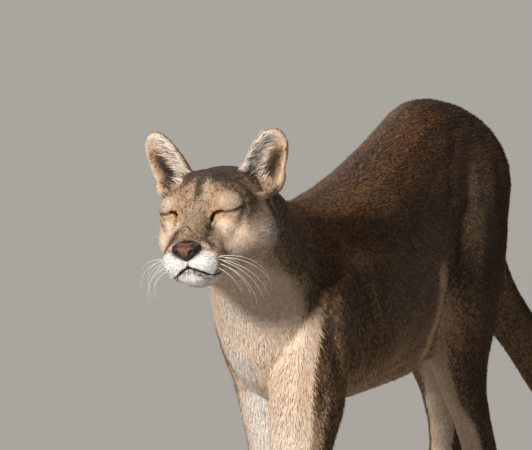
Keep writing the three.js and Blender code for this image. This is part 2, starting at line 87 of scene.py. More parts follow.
# Depth of the coat over the skin, length and width of a tuft in mm, and the way it points, by node
COAT = {
    "head": (1.3, 6.5, 1.45, None),
    "ear": (0.7, 4.5, 0.8, None),
    "neck": (4.2, 16, 1.5, (-0.75, 0, -0.65)),
    "torso": (4.4, 15, 1.6, (-1, 0, -0.3)),
    "upper_arm": (4, 14, 1.4, (-0.35, 0, -1)),
    "forearm": (3, 11, 1.2, (-0.15, 0, -1)),
    "fore_pastern": (2.2, 8, 1.3, (0.1, 0, -1)),
    "fore_paw": (1.8, 6, 1.2, (0.9, 0, -0.5)),
    "thigh": (4.4, 15, 1.6, (-0.45, 0, -0.9)),
    "shank": (3.3, 12, 1.4, (-0.35, 0, -1)),
    "metatarsus": (2.2, 8.5, 1.4, (0.1, 0, -1)),
    "hind_paw": (1.8, 6, 1.2, (0.9, 0, -0.5)),
    "tail": (5, 18, 1.6, (-0.52, 0.05, -0.84)),
}
CHEST_X = 0.36
CHEST_WAY = (-0.35, 0, -1)
# The place before the nose that the hairs of the head point away from, in mm in its own frame
PARTING = (150, 0, -18)


def both_sides(line):
    """A line of the left side and its mirror image."""
    return line, [(x, -y, z) for x, y, z in line]


# Lines of the face in mm in the head's own frame: the left side's, then the right side's
EYE_GAP = (
    [(83, 19.6, 5), (80.5, 20.9, 9.5), (80.2, 26.7, 13.6), (80.5, 33, 14)],
    [(80.4, -27.6, 12), (80.9, -29.3, 16.2), (81, -35, 16.9)],
)
LID_SEAM = (
    [(81.6, 33, 13.6), (81, 38, 13), (80, 42, 13), (77, 48, 13), (72, 54, 15), (64, 58, 16)],
    [(82, -35, 15.5), (80.5, -40, 14.5), (79, -45, 14), (73, -52, 14), (66, -57, 15)],
)
TEAR_LINE = (
    [(83, 19.6, 5), (86, 19.5, 0), (92, 21, -5)],
    [(80.4, -27.6, 12), (80, -28.3, 4.9), (81, -32, -2.4), (84, -34, -6)],
)
EYE_RIM = (
    [(85, 17.6, 4), (82, 17.6, 10), (80, 19.8, 16), (80, 28, 18), (80.5, 35, 17.5)],
    [(80, -26, 6), (80, -23.4, 13.6), (79, -24.5, 20.5), (79, -32, 21)],
)
LOWER_RIM = (
    [(85, 22.5, 2), (82.5, 27, 8), (80.5, 34, 9.6), (79, 41, 8)],
    [(82, -31, 6), (81, -36, 11.5), (78, -44, 11)],
)
NOSE_CREASE = (
    [(113, -4, 2), (116, -1, 1), (119.9, 2.3, -1.3), (122.2, 10.4, -7.8), (125, 14.7, -13.4)],
    [(112.5, -6.6, 2), (110.2, -14.7, -2.9), (113.6, -22.5, -10.9), (118, -24, -17)],
)
MOUTH = (
    [(136.3, 0, -48), (136.7, 9, -50), (135.4, 18.8, -54.7), (126, 24.5, -60),
     (118, 29.6, -61), (106, 34, -61)],
    [(136.3, 0, -48), (136.8, -5.6, -50.4), (135.8, -11.5, -55.4), (129, -20, -60),
     (118, -29, -62), (106, -34, -61)],
)
PHILTRUM = ([(142, 0, -35), (138, 0.5, -41), (136.6, 0, -48)],)
MUZZLE_FOLD = (
    [(92, 21, -2), (110, 23, -9), (117, 20, -10), (121, 24.5, -16), (122, 31, -23)],
    [(92, -22, -2), (110, -24, -9), (118, -25, -17), (121, -31, -24)],
)
CHEEK_ARC = (
    [(62, 58, 12), (68, 55.5, 5), (67, 51, -7), (84, 45.5, -21), (101, 39, -23)],
    [(62, -58, 12), (68, -55, 5), (67, -51, -7), (84, -45, -21), (101, -39, -23)],
)
JOWL_EDGE = both_sides([(-12, 66, 12), (-12, 70, -15), (-6, 68, -48), (18, 62, -64), (45, 50, -74)])
JOWL_PALE = both_sides([(96, 42, -36), (62, 58, -26), (30, 70, -30)])
BROW_EDGE = both_sides([(58, 36, 46), (53, 51, 34), (58, 58, 23), (60, 60, 16)])
BROW_STREAK = (
    [(64, 18, 43), (67, 18.5, 40), (73, 22, 31), (78, 20, 22)],
    [(60, -17, 46), (64, -18, 43), (70, -21.5, 36), (77, -23, 26)],
)
FOREHEAD_LINES = (
    [(68, -2, 36), (60, -2.4, 42), (51, -2, 49), (30, -5, 55), (10, -8, 58)],
    [(55, 19, 47), (44, 15, 52), (25, 14, 55), (5, 16, 56)],
    [(50, -22, 47), (36, -21, 52), (15, -22, 56)],
)


def kind_of(node):
    """The row of COAT that a node of the body takes its sizes from."""
    return max((k for k in COAT if node.startswith(k)), key=len)


def ease(low, high, x):
    """A smooth share of x, from 0 at low to 1 at high."""
    t = np.clip((x - low) / (high - low), 0, 1)
    return t * t * (3 - 2 * t)


def size(v):
    return np.linalg.norm(v, axis=-1)


def unit(v):
    return v / np.maximum(size(v), 1e-9)[..., None]


def on_side(at, side):
    """A place of the left side, or its mirror image where side is -1."""
    return np.array(at) * (1, side, 1)


def to_head(points):
    """Points of the frame as millimetres in the head's own frame."""
    return (points - HEAD_AT) @ HEAD_TURN / MM


def from_head(points):
    """Millimetres in the head's own frame as points of the frame."""
    return np.asarray(points, float) * MM @ HEAD_TURN.T + HEAD_AT


def ear_turn(name):
    side = SIDES[name]
    turn = Euler((-side * math.radians(EAR_SPLAY[name]), 0, side * math.radians(EAR_TURN)), "ZYX")
    return np.array(turn.to_matrix())


def to_ear(head, name):
    """Places in the head's frame as mm outward across an ear, and as a share of its length."""
    side = SIDES[name]
    local = (head - on_side(EAR_AT, side)) @ ear_turn(name)
    return local[:, 1] * side, local[:, 2] / EAR_LENGTH[name]


def gap_to_line(points, line):
    """Distance of each point to a line of points."""
    line = np.asarray(line, float)
    best = np.full(len(points), 1e9)
    for start, end in zip(line[:-1], line[1:]):
        run = end - start
        t = np.clip((points - start) @ run / (run @ run), 0, 1)
        best = np.minimum(best, size(points - start - t[:, None] * run))
    return best


def line_gap(points, *sets):
    """Distance of each point to the nearest line of some sets of lines."""
    return np.min([gap_to_line(points, line) for lines in sets for line in lines], axis=0)


def mound(gap, radius):
    """A rounded share from 1 at no gap down to 0."""
    return np.exp(-(gap / radius) ** 2)


def spot(points, at, radius):
    """A rounded share about a place, and about its mirror image on the other side."""
    return mound(np.minimum(size(points - at), size(points - on_side(at, -1))), radius)


def strokes(points, table):
    """The sum of a table's lines, each with its height and half width."""
    return sum(height * mound(line_gap(points, lines), width) for lines, height, width in table)


def masses(points, table):
    """The sum of a table's rounded places, each with its height and radius."""
    return sum(height * spot(points, at, radius) for at, height, radius in table)


# Camera, floor and studio light

def toward(turn, rise):
    """The way to a turn from +X and a rise above the floor, both in degrees."""
    turn, rise = math.radians(turn), math.radians(rise)
    return Vector((math.cos(turn) * math.cos(rise), math.sin(turn) * math.cos(rise), math.sin(rise)))


def add_object(name, data, way=None):
    """An object in the scene; a camera or lamp looks back along the given way."""
    obj = bpy.data.objects.new(name, data)
    if way:
        obj.rotation_euler = way.to_track_quat("Z", "Y").to_euler()
    bpy.context.scene.collection.objects.link(obj)
    return obj


def build_camera():
    data = bpy.data.cameras.new("camera")
    data.lens = LENS_MM
    data.sensor_width = SENSOR_MM
    data.sensor_fit = "HORIZONTAL"
    data.clip_end = 100
    way = toward(VIEW_TURN, VIEW_RISE)
    camera = add_object("camera", data, way)
    camera.location = LOOK_AT + way * VIEW_DISTANCE
    bpy.context.scene.camera = camera


def add_lamp(name, turn, rise, energy, softness, colour):
    data = bpy.data.lights.new(name, "SUN")
    data.energy = energy
    data.angle = math.radians(softness)
    data.color = colour
    add_object(name, data, toward(turn, rise))


def build_studio():
    bm = bmesh.new()
    bmesh.ops.create_grid(bm, x_segments=1, y_segments=1, size=FLOOR_HALF)
    floor = add_object("floor", mesh_from(bm, "floor"))
    material, n = new_material("pale_floor", 0.95, 0.1)
    n.paint("Base Color", n.mix(n.noise(n.place(), 3.0), *FLOOR_TONES))
    floor.data.materials.append(material)
    for name, settings in LAMPS.items():
        add_lamp(name, *settings)
    world = bpy.data.worlds.new("studio")
    world.use_nodes = True
    background = world.node_tree.nodes["Background"]
    background.inputs["Color"].default_value = SKY_COLOUR
    background.inputs["Strength"].default_value = SKY_STRENGTH
    bpy.context.scene.world = world
    bpy.context.scene.view_settings.view_transform = "Standard"


# Materials

class Nodes:
    """Short calls that add and join the nodes of one tree."""

    def __init__(self, tree):
        self.tree = tree

    def add(self, kind, **settings):
        node = self.tree.nodes.new(kind)
        for key, value in settings.items():
            setattr(node, key, value)
        return node

    def feed(self, socket, value):
        if isinstance(value, bpy.types.NodeSocket):
            self.tree.links.new(value, socket)
        else:
            socket.default_value = value

    def paint(self, name, value):
        """Feeds an input of the material's shader."""
        self.feed(self.tree.nodes["Principled BSDF"].inputs[name], value)

    def mask(self, name):
        return self.add("ShaderNodeAttribute", attribute_name=name).outputs["Fac"]

    def place(self):
        return self.add("ShaderNodeTexCoord").outputs["Object"]

    def mix(self, factor, first, second, way="MIX"):
        node = self.add("ShaderNodeMix", data_type="RGBA", blend_type=way)
        self.feed(node.inputs["Factor"], factor)
        self.feed(node.inputs["A"], first)
        self.feed(node.inputs["B"], second)
        return node.outputs["Result"]

    def math(self, way, first, second=0.5, third=0.5):
        node = self.add("ShaderNodeMath", operation=way)
        for socket, value in zip(node.inputs, (first, second, third)):
            self.feed(socket, value)
        return node.outputs["Value"]

    def noise(self, vector, scale, detail=3.0):
        node = self.add("ShaderNodeTexNoise")
        self.feed(node.inputs["Vector"], vector)
        node.inputs["Scale"].default_value = scale
        node.inputs["Detail"].default_value = detail
        return node.outputs["Fac"]

    def ramp(self, value, low, high, to_low=0.0, to_high=1.0):
        node = self.add("ShaderNodeMapRange", interpolation_type="SMOOTHSTEP")
        for name, given in (("Value", value), ("From Min", low), ("From Max", high),
                            ("To Min", to_low), ("To Max", to_high)):
            self.feed(node.inputs[name], given)
        return node.outputs["Result"]

    def bump(self, height, strength, distance):
        node = self.add("ShaderNodeBump")
        node.inputs["Strength"].default_value = strength
        node.inputs["Distance"].default_value = distance
        self.feed(node.inputs["Height"], height)
        return node.outputs["Normal"]


TAWNY = (0.4, 0.265, 0.17, 1)
RUFOUS = (0.4, 0.188, 0.086, 1)
CREAM = (0.8, 0.64, 0.505, 1)
ORANGE = (0.7, 0.4, 0.19, 1)
WHITE = (0.79, 0.775, 0.76, 1)
TICK = (0.048, 0.034, 0.026, 1)
BLACK = (0.008, 0.007, 0.007, 1)

MARKS = ("rufous", "cream", "orange", "white", "ticked", "black")


def coat_colour_group():
    """The coat's colour from the masks of its markings, with dark ticked hairs and painted shade toward
    each tuft's root.
    """
    group = bpy.data.node_groups.new("coat_colour", "ShaderNodeTree")
    for name in MARKS + ("tip", "strand"):
        group.interface.new_socket(name, in_out="INPUT", socket_type="NodeSocketFloat")
    group.interface.new_socket("Colour", in_out="OUTPUT", socket_type="NodeSocketColor")
    n = Nodes(group)
    given = n.add("NodeGroupInput").outputs
    place = n.place()
    patches = n.ramp(n.noise(place, 16.0, 4.0), 0.25, 0.75)
    clumps = n.ramp(n.noise(place, 190.0, 2.0), 0.32, 0.68)
    red = n.math("MULTIPLY", given["rufous"], n.ramp(patches, 0.0, 1.0, 0.75, 1.0))
    colour = n.mix(red, TAWNY, RUFOUS)
    for name, tint in (("cream", CREAM), ("orange", ORANGE), ("white", WHITE)):
        colour = n.mix(given[name], colour, tint)
    grain = n.ramp(n.noise(place, 620.0, 2.0), 0.32, 0.68)
    chance = n.math("MULTIPLY_ADD", given["strand"], 0.44, n.math("MULTIPLY", clumps, 0.36))
    chance = n.math("MULTIPLY_ADD", grain, 0.2, chance)
    share = n.math("ADD", given["ticked"], n.math("MULTIPLY_ADD", patches, 0.08, -0.04))
    edge = n.math("SUBTRACT", 1.0, share)
    fleck = n.ramp(chance, n.math("SUBTRACT", edge, 0.12), n.math("ADD", edge, 0.12))
    fleck = n.math("MULTIPLY", fleck, n.ramp(given["ticked"], 0.0, 0.06))
    colour = n.mix(n.math("MULTIPLY", fleck, 0.92), colour, TICK)
    # Painted shade: the tone falls toward each tuft's root (tip 0), standing for the shade between hairs
    tone = n.math("MULTIPLY", n.ramp(given["strand"], 0.0, 1.0, 0.58, 1.4),
                  n.ramp(given["tip"], 0.0, 0.8, 0.58, 1.1))
    tone = n.math("MULTIPLY", tone, n.ramp(clumps, 0.0, 1.0, 0.8, 1.15))
    light = n.math("MAXIMUM", n.math("MULTIPLY", given["white"], 0.45),
                   n.math("MULTIPLY", given["cream"], 0.5))
    tone = n.math("MULTIPLY_ADD", n.math("SUBTRACT", 1.02, tone), light, tone)
    colour = n.mix(1.0, colour, tone, "MULTIPLY")
    colour = n.mix(given["black"], colour, BLACK)
    out = n.add("NodeGroupOutput")
    n.feed(out.inputs["Colour"], colour)
    return group


def new_material(name, roughness=0.5, specular=0.5):
    material = bpy.data.materials.new(name)
    material.use_nodes = True
    n = Nodes(material.node_tree)
    n.paint("Roughness", roughness)
    n.paint("Specular IOR Level", specular)
    return material, n


def coat_colour(n, group, **values):
    """The coat's colour from a mesh's own masks, with the given values for tip and strand."""
    node = n.add("ShaderNodeGroup", node_tree=group)
    for name in MARKS:
        n.feed(node.inputs[name], n.mask(name))
    for name, value in values.items():
        n.feed(node.inputs[name], value)
    return node.outputs["Colour"]


def coat_material(group):
    material, n = new_material("coat", 0.65, 0.08)
    n.paint("Base Color", coat_colour(n, group, tip=n.mask("tip"), strand=n.mask("strand")))
    return material


def skin_material(group):
    material, n = new_material("skin", 0.85, 0.15)
    place = n.place()
    hair = n.noise(place, 700.0)
    # Painted shade under the coat: the tufts' root shade is driven by noise here, and the skin is mixed a
    # little toward the dark tick colour
    colour = coat_colour(n, group, tip=n.noise(place, 400.0), strand=n.ramp(hair, 0.3, 0.7))
    n.paint("Base Color", n.mix(0.12, colour, TICK))
    n.paint("Normal", n.bump(hair, 0.6, 1.0 * MM))
    return material


def leather_material():
    material, n = new_material("nose_leather")
    place = n.place()
    grain = n.noise(place, 900.0)
    blotch = n.ramp(n.noise(place, 220.0), 0.35, 0.65)
    colour = n.mix(blotch, (0.15, 0.052, 0.026, 1), (0.095, 0.032, 0.017, 1))
    dark = n.mix(blotch, (0.02, 0.012, 0.011, 1), (0.035, 0.02, 0.017, 1))
    n.paint("Base Color", n.mix(n.mask("black"), colour, dark))
    n.paint("Roughness", n.ramp(grain, 0.3, 0.7, 0.46, 0.66))
    n.paint("Normal", n.bump(grain, 0.7, 0.5 * MM))
    return material


def grained_material(name, roughness, scale, first, second):
    """A material whose colour drifts between two close ones."""
    material, n = new_material(name, roughness)
    n.paint("Base Color", n.mix(n.noise(n.place(), scale), first, second))
    return material


# The skin

def mesh_from(bm, name):
    """A mesh with the shape of a bmesh, which is freed."""
    mesh = bpy.data.meshes.new(name)
    bm.to_mesh(mesh)
    bm.free()
    return mesh


def read(items, name, width, kind=np.float32):
    """One value or vector of each item of a mesh, as the rows of an array."""
    values = np.empty(len(items) * width, kind)
    items.foreach_get(name, values)
    return values.reshape(-1, width)


def with_modifier(obj, kind, **settings):
    """Puts the object's mesh after one modifier in its place."""
    modifier = obj.modifiers.new(kind, kind)
    for key, value in settings.items():
        setattr(modifier, key, value)
    view = bpy.context.evaluated_depsgraph_get()
    view.update()
    result = bpy.data.meshes.new_from_object(obj.evaluated_get(view))
    obj.modifiers.clear()
    old, obj.data = obj.data, result
    bpy.data.meshes.remove(old)


def merged_copy(name):
    """A bmesh of one node with its loose triangles joined."""
    bm = bmesh.new()
    bm.from_mesh(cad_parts[name].data)
    bmesh.ops.remove_doubles(bm, verts=bm.verts, dist=1e-5)
    bmesh.ops.recalc_face_normals(bm, faces=bm.faces)
    bm.normal_update()
    return bm


def join_flesh(nodes):
    """All nodes in one mesh, each swollen a little so that they run into each other."""
    whole = bmesh.new()
    for name in nodes:
        bm = merged_copy(name)
        for vert in bm.verts:
            vert.co += vert.normal * OVERLAP
        mesh = mesh_from(bm, "flesh_part")
        whole.from_mesh(mesh)
        bpy.data.meshes.remove(mesh)
    return mesh_from(whole, "skin")


def keep_largest(mesh):
    """Deletes every closed surface but the largest."""
    bm = bmesh.new()
    bm.from_mesh(mesh)
    left = set(bm.verts)
    groups = []
    while left:
        group = [left.pop()]
        for vert in group:
            found = left.intersection(edge.other_vert(vert) for edge in vert.link_edges)
            left -= found
            group.extend(found)
        groups.append(group)
    for group in sorted(groups, key=len)[:-1]:
        bmesh.ops.delete(bm, geom=group, context="VERTS")
    bm.to_mesh(mesh)
    bm.free()


def places_of(mesh):
    return read(mesh.vertices, "co", 3).astype(float)


def set_places(mesh, places):
    mesh.vertices.foreach_set("co", places.astype(np.float32).ravel())
    mesh.update()


def normals_of(mesh):
    return read(mesh.vertex_normals, "vector", 3).astype(float)


def neighbour_mean(edges, count, values):
    """The mean of each vertex's neighbours, for one or more columns of values."""
    total = np.zeros_like(values)
    for column in range(values.shape[1]):
        total[:, column] = (np.bincount(edges[:, 0], values[edges[:, 1], column], count)
                            + np.bincount(edges[:, 1], values[edges[:, 0], column], count))
    degree = np.bincount(edges.ravel(), minlength=count).astype(float)
    return total / np.maximum(degree, 1)[:, None]


def edges_of(mesh):
    return read(mesh.edges, "vertices", 2, np.int32)


def relax(mesh, strength, rounds):
    """Smooths a mesh in place without shrinking it; strength is one value per vertex."""
    edges = edges_of(mesh)
    places = places_of(mesh)
    for _ in range(rounds):
        for factor in (0.6, -0.62):
            mean = neighbour_mean(edges, len(places), places)
            places += (mean - places) * (strength * factor)[:, None]
    set_places(mesh, places)


def spread(mesh, values, rounds):
    """Values per vertex, blended over the skin."""
    edges = edges_of(mesh)
    for _ in range(rounds):
        values = 0.5 * values + 0.5 * neighbour_mean(edges, len(values), values)
    return values


def nearest_nodes(places, nodes):
    """For each place the index of the node whose surface is nearest."""
    verts, faces, owner = [], [], []
    for index, name in enumerate(nodes):
        bm = merged_copy(name)
        start = len(verts)
        verts.extend(v.co.copy() for v in bm.verts)
        faces.extend(tuple(start + v.index for v in f.verts) for f in bm.faces)
        owner.extend([index] * len(bm.faces))
        bm.free()
    tree = BVHTree.FromPolygons(verts, faces)
    return np.array(owner)[[tree.find_nearest(p)[2] for p in places]]


def refine(mesh, inside):
    """Splits the faces in four where the vertices pass a test."""
    bm = bmesh.new()
    bm.from_mesh(mesh)
    chosen = [e for e in bm.edges if all(inside[v.index] for v in e.verts)]
    bmesh.ops.subdivide_edges(bm, edges=chosen, cuts=1, use_grid_fill=True)
    bmesh.ops.triangulate(bm, faces=[f for f in bm.faces if len(f.verts) > 4])
    bm.to_mesh(mesh)
    bm.free()


def close_lids(mesh):
    """Lays the skin round the front of each eyeball, as closed lids."""
    places = places_of(mesh)
    head = to_head(places)
    for side in SIDES.values():
        away = head - on_side(EYE_AT, side)
        far = size(away)
        front = (far < LIDS_RADIUS) & (away[:, 0] + 0.4 * side * away[:, 1] > 2)
        head[front] += away[front] * (LIDS_RADIUS / np.maximum(far[front], 1) - 1)[:, None]
    set_places(mesh, from_head(head))


# Grooves and ridges of the face: lines, height and half width in mm
FACE_STROKES = (
    (EYE_GAP, -5.4, 2.6), (LID_SEAM, -2.0, 1.6), (TEAR_LINE, -1.6, 1.8), (EYE_RIM, 1.1, 2.2),
    (LOWER_RIM, 1.1, 2.6), (NOSE_CREASE, -0.9, 1.6), (MOUTH, -3.4, 1.9), (PHILTRUM, -1.6, 1.6),
    (MUZZLE_FOLD, -1.8, 4.5), (CHEEK_ARC, -1.7, 6.0), (BROW_EDGE, -1.2, 6.0), (BROW_STREAK, -1.0, 4.0),
)
JOWL_STROKES = ((JOWL_EDGE, -4.5, 9),)
# Fuller places of the face: where, height and radius in mm
FACE_MASSES = (
    ((78, 39, -4), 2.6, 13), ((74, 36, 27), 2.2, 11), ((128, 20, -42), 2.0, 12), ((56, 60, -22), 2.6, 16),
    ((58, 13, 46), 1.4, 8), ((122, 30, -50), 1.0, 8), ((36, 70, -34), 2.0, 16),
)
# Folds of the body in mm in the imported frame, on the left side. The right side has their mirror, moved
# back as far as the right legs stand behind the left ones.
BODY_STROKES = (
    ([(-100, 57, 713), (-70, 67, 675), (-32, 75, 630), (8, 81, 585), (38, 84, 540)], -2.5, 14),
    ([(-150, 68, 700), (-105, 84, 640), (-60, 92, 580)], -4.0, 40),
    ([(38, 84, 540), (10, 82, 505), (-4, 76, 470)], -2.0, 12),
    ([(448, 78, 590), (452, 82, 562), (458, 92, 536), (464, 97, 494)], -6.0, 7),
    ([(438, 88, 585), (440, 96, 550), (447, 99, 508), (450, 99, 480)], -6.0, 6),
    ([(434, 105, 480), (450, 102, 462), (466, 95, 445), (479, 87, 423)], -6.0, 7),
    ([(430, 75, 608), (400, 95, 570), (380, 104, 530)], -3.5, 12),
    ([(330, 96, 560), (322, 98, 500), (318, 90, 450)], -3.5, 16),
    ([(492, 60, 640), (478, 66, 600), (466, 72, 560)], -4.0, 12),
)
LEGS_LAG = 0.55
LEGS_TOP = 650
CREASE_DEPTH = -5.5


def sculpt(mesh):
    """Presses the lids, creases and folds into the skin, along its normals."""
    places = places_of(mesh)
    normals = normals_of(mesh)
    head = to_head(places)
    push = np.zeros(len(places))
    face = np.flatnonzero(head[:, 0] > 20)
    push[face] = strokes(head[face], FACE_STROKES) + masses(head[face], FACE_MASSES)
    push += strokes(head, JOWL_STROKES)
    folds = [((line, [(x - LEGS_LAG * max(LEGS_TOP - z, 0), -y, z) for x, y, z in line]), depth, width)
             for line, depth, width in BODY_STROKES]
    push += strokes(places / MM, folds)
    set_places(mesh, places + normals * push[:, None] * MM)


# Where the skin is at its finest: reach in mm about lines of the face
FINE_LINES = ((7, EYE_GAP, LID_SEAM), (6, MOUTH, TEAR_LINE), (5, NOSE_CREASE))


def build_skin(nodes):
    """One closed skin over the nodes of flesh and the eyeballs, finest at the face."""
    skin = add_object("skin", join_flesh([*nodes, *EYES]))
    with_modifier(skin, "REMESH", mode="VOXEL", voxel_size=VOXEL, use_smooth_shade=True)
    keep_largest(skin.data)
    head = to_head(places_of(skin.data))
    face = ease(-60, -10, head[:, 0]) * ease(-110, -70, head[:, 2])
    relax(skin.data, 1.0 - 0.7 * face, 14)
    group = skin.vertex_groups.new(name="thin_out")
    group.add([int(i) for i in np.flatnonzero(face <= 0.3)], 1.0, "REPLACE")
    now = 2 * len(skin.data.polygons)
    with_modifier(skin, "DECIMATE", ratio=SKIN_TRIANGLES / now, vertex_group="thin_out")
    mesh = skin.data
    close_lids(mesh)
    head = to_head(places_of(mesh))
    refine(mesh, (head[:, 0] > 36) & (head[:, 2] > -90) & (head[:, 2] < 60))
    close_lids(mesh)
    head = to_head(places_of(mesh))
    refine(mesh, np.any([line_gap(head, *sets) < reach for reach, *sets in FINE_LINES], axis=0))
    head = to_head(places_of(mesh))
    relax(mesh, 0.5 * (head[:, 0] > 30), 3)
    return skin


def coat_fields(mesh, nodes):
    """The node under each vertex, the coat's depth, length and width there, and its lie."""
    places = places_of(mesh)
    owner = nearest_nodes(places, nodes)
    names = np.array(nodes)[owner]
    sizes = np.array([COAT[kind_of(n)][:3] for n in nodes])[owner] * MM
    lie = lie_of_coat(places, names)
    fields = spread(mesh, np.hstack([sizes, lie]), 24)
    return owner, fields[:, :3] * face_share(to_head(places)), unit(fields[:, 3:])


def face_share(head):
    """How much of the coat's depth, length and width is left on the face, and more at the jowls."""
    hx, hz = head[:, 0], head[:, 2]
    front = ease(35, 85, hx) * ease(-100, -80, hz)
    jowl = ease(0, -45, hz) * ease(80, 40, hx) * ease(-30, 0, hx) * ease(-105, -90, hz)
    return np.stack([1 - 0.4 * front, 1 - 0.38 * front + 1.1 * jowl, 1 - 0.15 * front], 1)


def clear_lines(head, length):
    """Keeps hairs short beside the lids, mouth and creases, so that none lies over them."""
    gap = np.minimum(line_gap(head, EYE_GAP, LID_SEAM, MOUTH, PHILTRUM),
                     line_gap(head, NOSE_CREASE) + 0.6)
    return np.minimum(length, np.where(head[:, 0] > 30, 0.9 + 0.75 * gap, 1e6) * MM)


def lie_of_coat(places, names):
    """The way the hairs point at each place, not yet laid on the skin."""
    kinds = np.array([kind_of(n) for n in names])
    lie = np.zeros_like(places)
    for kind, (*_, way) in COAT.items():
        if way:
            lie[kinds == kind] = way
    lie[(kinds == "torso") & (places[:, 0] > CHEST_X)] = CHEST_WAY
    head = to_head(places)
    flow = unit(head - PARTING)
    flow[:, 1] *= 1.3
    flow[:, 2] += np.where(head[:, 2] < -50, -0.6, 0.0)
    face = kinds == "head"
    lie[face] = (flow @ HEAD_TURN.T)[face]
    for name, side in SIDES.items():
        ear = names == f"ear_{name}"
        way = np.array((0.0, 0.15 * side, 1.0)) @ ear_turn(name).T
        lie[ear] = way @ HEAD_TURN.T
    return unit(lie)


# Markings: masks from 0 to 1 by place, the same on skin and coat; some of them paint light and shade.
# Lines and spots of the face: where, strength and half width in mm
# Painted shade: these lines darken the grooves of the tear line, nose crease and philtrum; along the lid
# seam the dark is the lids' own dark margin together with painted shade in its groove
DARK_LINES = ((LID_SEAM, 0.85, 2.1), (TEAR_LINE, 0.85, 1.4), (NOSE_CREASE, 0.95, 1.5),
              (PHILTRUM, 0.85, 1.4))
# The forehead lines and brow edge are darker fur; along the muzzle fold and cheek arc the darker fur is
# partly painted shade in those folds
TICKED_LINES = (*(((line,), 0.36, 5.0) for line in FOREHEAD_LINES),
                (BROW_EDGE, 0.1, 7.5), (MUZZLE_FOLD, 0.38, 5.0), (CHEEK_ARC, 0.16, 5.0))
TICKED_SPOTS = (((109, 39, -33), 0.42, 8), ((103, 40, -44), 0.25, 8))
ORANGE_LINES = ((EYE_RIM, 0.85, 2.2), (LOWER_RIM, 0.55, 2.4), (BROW_STREAK, 0.5, 3.6))
ORANGE_SPOTS = (((127, 27, -25), 0.45, 6), ((113, 38, -35), 0.55, 11), ((60, 30, 40), 0.1, 12))
# Pale places of the body, in mm in the imported frame
# The flank fold's pale line is pale fur with a painted highlight along its lit ridge
FLANK_FOLD = [(-8, 77, 525), (-10, 74, 505), (-11, 68, 472), (2, 61, 440), (-5, 52, 415)]
CHEST_PATCH = [(482, -29, 478), (438, -31, 437), (370, -47, 403), (351, -46, 344)]
NECK_STREAK = [(568, 72, 712), (572, 77, 684), (571, 76, 655)]
BREAST_SPOT = (535, -10, 560)


def face_marks(head):
    """The masks of the head, in its own frame."""
    hx, ay, hz = head[:, 0], np.abs(head[:, 1]), head[:, 2]
    open_lines = np.minimum(line_gap(head, EYE_GAP) / 2.7, line_gap(head, MOUTH) / 2.3)
    black = ease(1.35, 0.85, open_lines)
    for stroke in DARK_LINES:
        black = np.maximum(black, strokes(head, [stroke]))
    pad = size((head - (136, 0, -25)) / (11, 19.5, 12.5))
    black = np.maximum(black, 0.85 * ease(1.2, 0.95, pad) * (hz > -40))
    drop = -48 - 0.3 * ay - 0.01 * ay ** 2 - hz
    lip = ease(15, 3, drop) * ease(-1.5, 0.5, drop) * ease(108, 118, hx) * ease(27, 18, ay)

    top = -27.5 - 0.39 * (134 - hx)
    back = hx + 0.1 * (hz + 44) - 0.6 * np.clip(ay - 25, 0, 20)
    pads = ease(2.0, -2.5, hz - top) * ease(115, 126, back)
    chin = ease(-55, -60, hz) * ease(88, 104, hx) * ease(34, 24, ay)
    white = np.clip(pads + chin + 0.35 * spot(head, (14, 74, -26), 17), 0, 1)
    crown = ease(30, 56, hz) * ease(66, 20, hx)
    ticked = 0.42 + 0.3 * crown + 0.55 * ease(14, -12, hx) * ease(44, 58, hz)
    ticked += strokes(head, TICKED_LINES) + masses(head, TICKED_SPOTS)
    temple = np.stack([hx - 34, ay - 62, hz - 12], 1) / (30, 20, 20)
    ticked -= 0.06 * mound(size(temple), 1.0)

    brow = spot(head, (76, 36, 27), 11) + 0.8 * spot(head, (70, 49, 28), 9)
    cheek = spot(head, (81, 38, -6), 15)
    between = spot(head, (86, 0, 16), 17) + spot(head, (104, 0, 6), 16)
    between += 0.8 * spot(head, (120, 0, -4), 12)
    stripe = mound(gap_to_line(head, [(70, 11, 33), (56, 9, 47)]), 6)
    stripe += mound(gap_to_line(head, [(70, -10, 33), (58, -9, 46)]), 4)
    jowl = mound(line_gap(head, JOWL_PALE), 23)
    beside = spot(head, (129, 24, -22), 6)
    under = ease(-40, -70, hz)
    cream = 0.12
    for share, more_cream, less_ticked in (
            (brow, 0.48, 0.22), (cheek, 0.78, 0.36), (between, 0.14, 0.06), (stripe, 0.3, 0.16),
            (jowl, 0.9, 0.34), (beside, 0.5, 0.2), (under, 0.6, 0.25)):
        cream += more_cream * share
        ticked -= less_ticked * share
    cream = np.clip(cream, 0, 0.95)
    ticked = np.clip(ticked, 0.02, 1) * (1 - white)
    ticked = np.maximum(ticked, 0.62 * lip)
    rows = np.sin(hx * 0.95) * np.sin((hz - 0.3 * hx) * 0.85)
    whisker_bed = ease(104, 114, hx) * ease(13, 22, ay) * (hz < top)
    ticked += 0.5 * ease(0.45, 0.9, rows) * whisker_bed

    orange = 0.04 + 0.1 * cheek + strokes(head, ORANGE_LINES) + masses(head, ORANGE_SPOTS)
    return {"rufous": 0.1 * crown, "cream": cream, "orange": np.clip(orange, 0, 0.9) * (1 - white),
            "white": white, "ticked": ticked, "black": black}


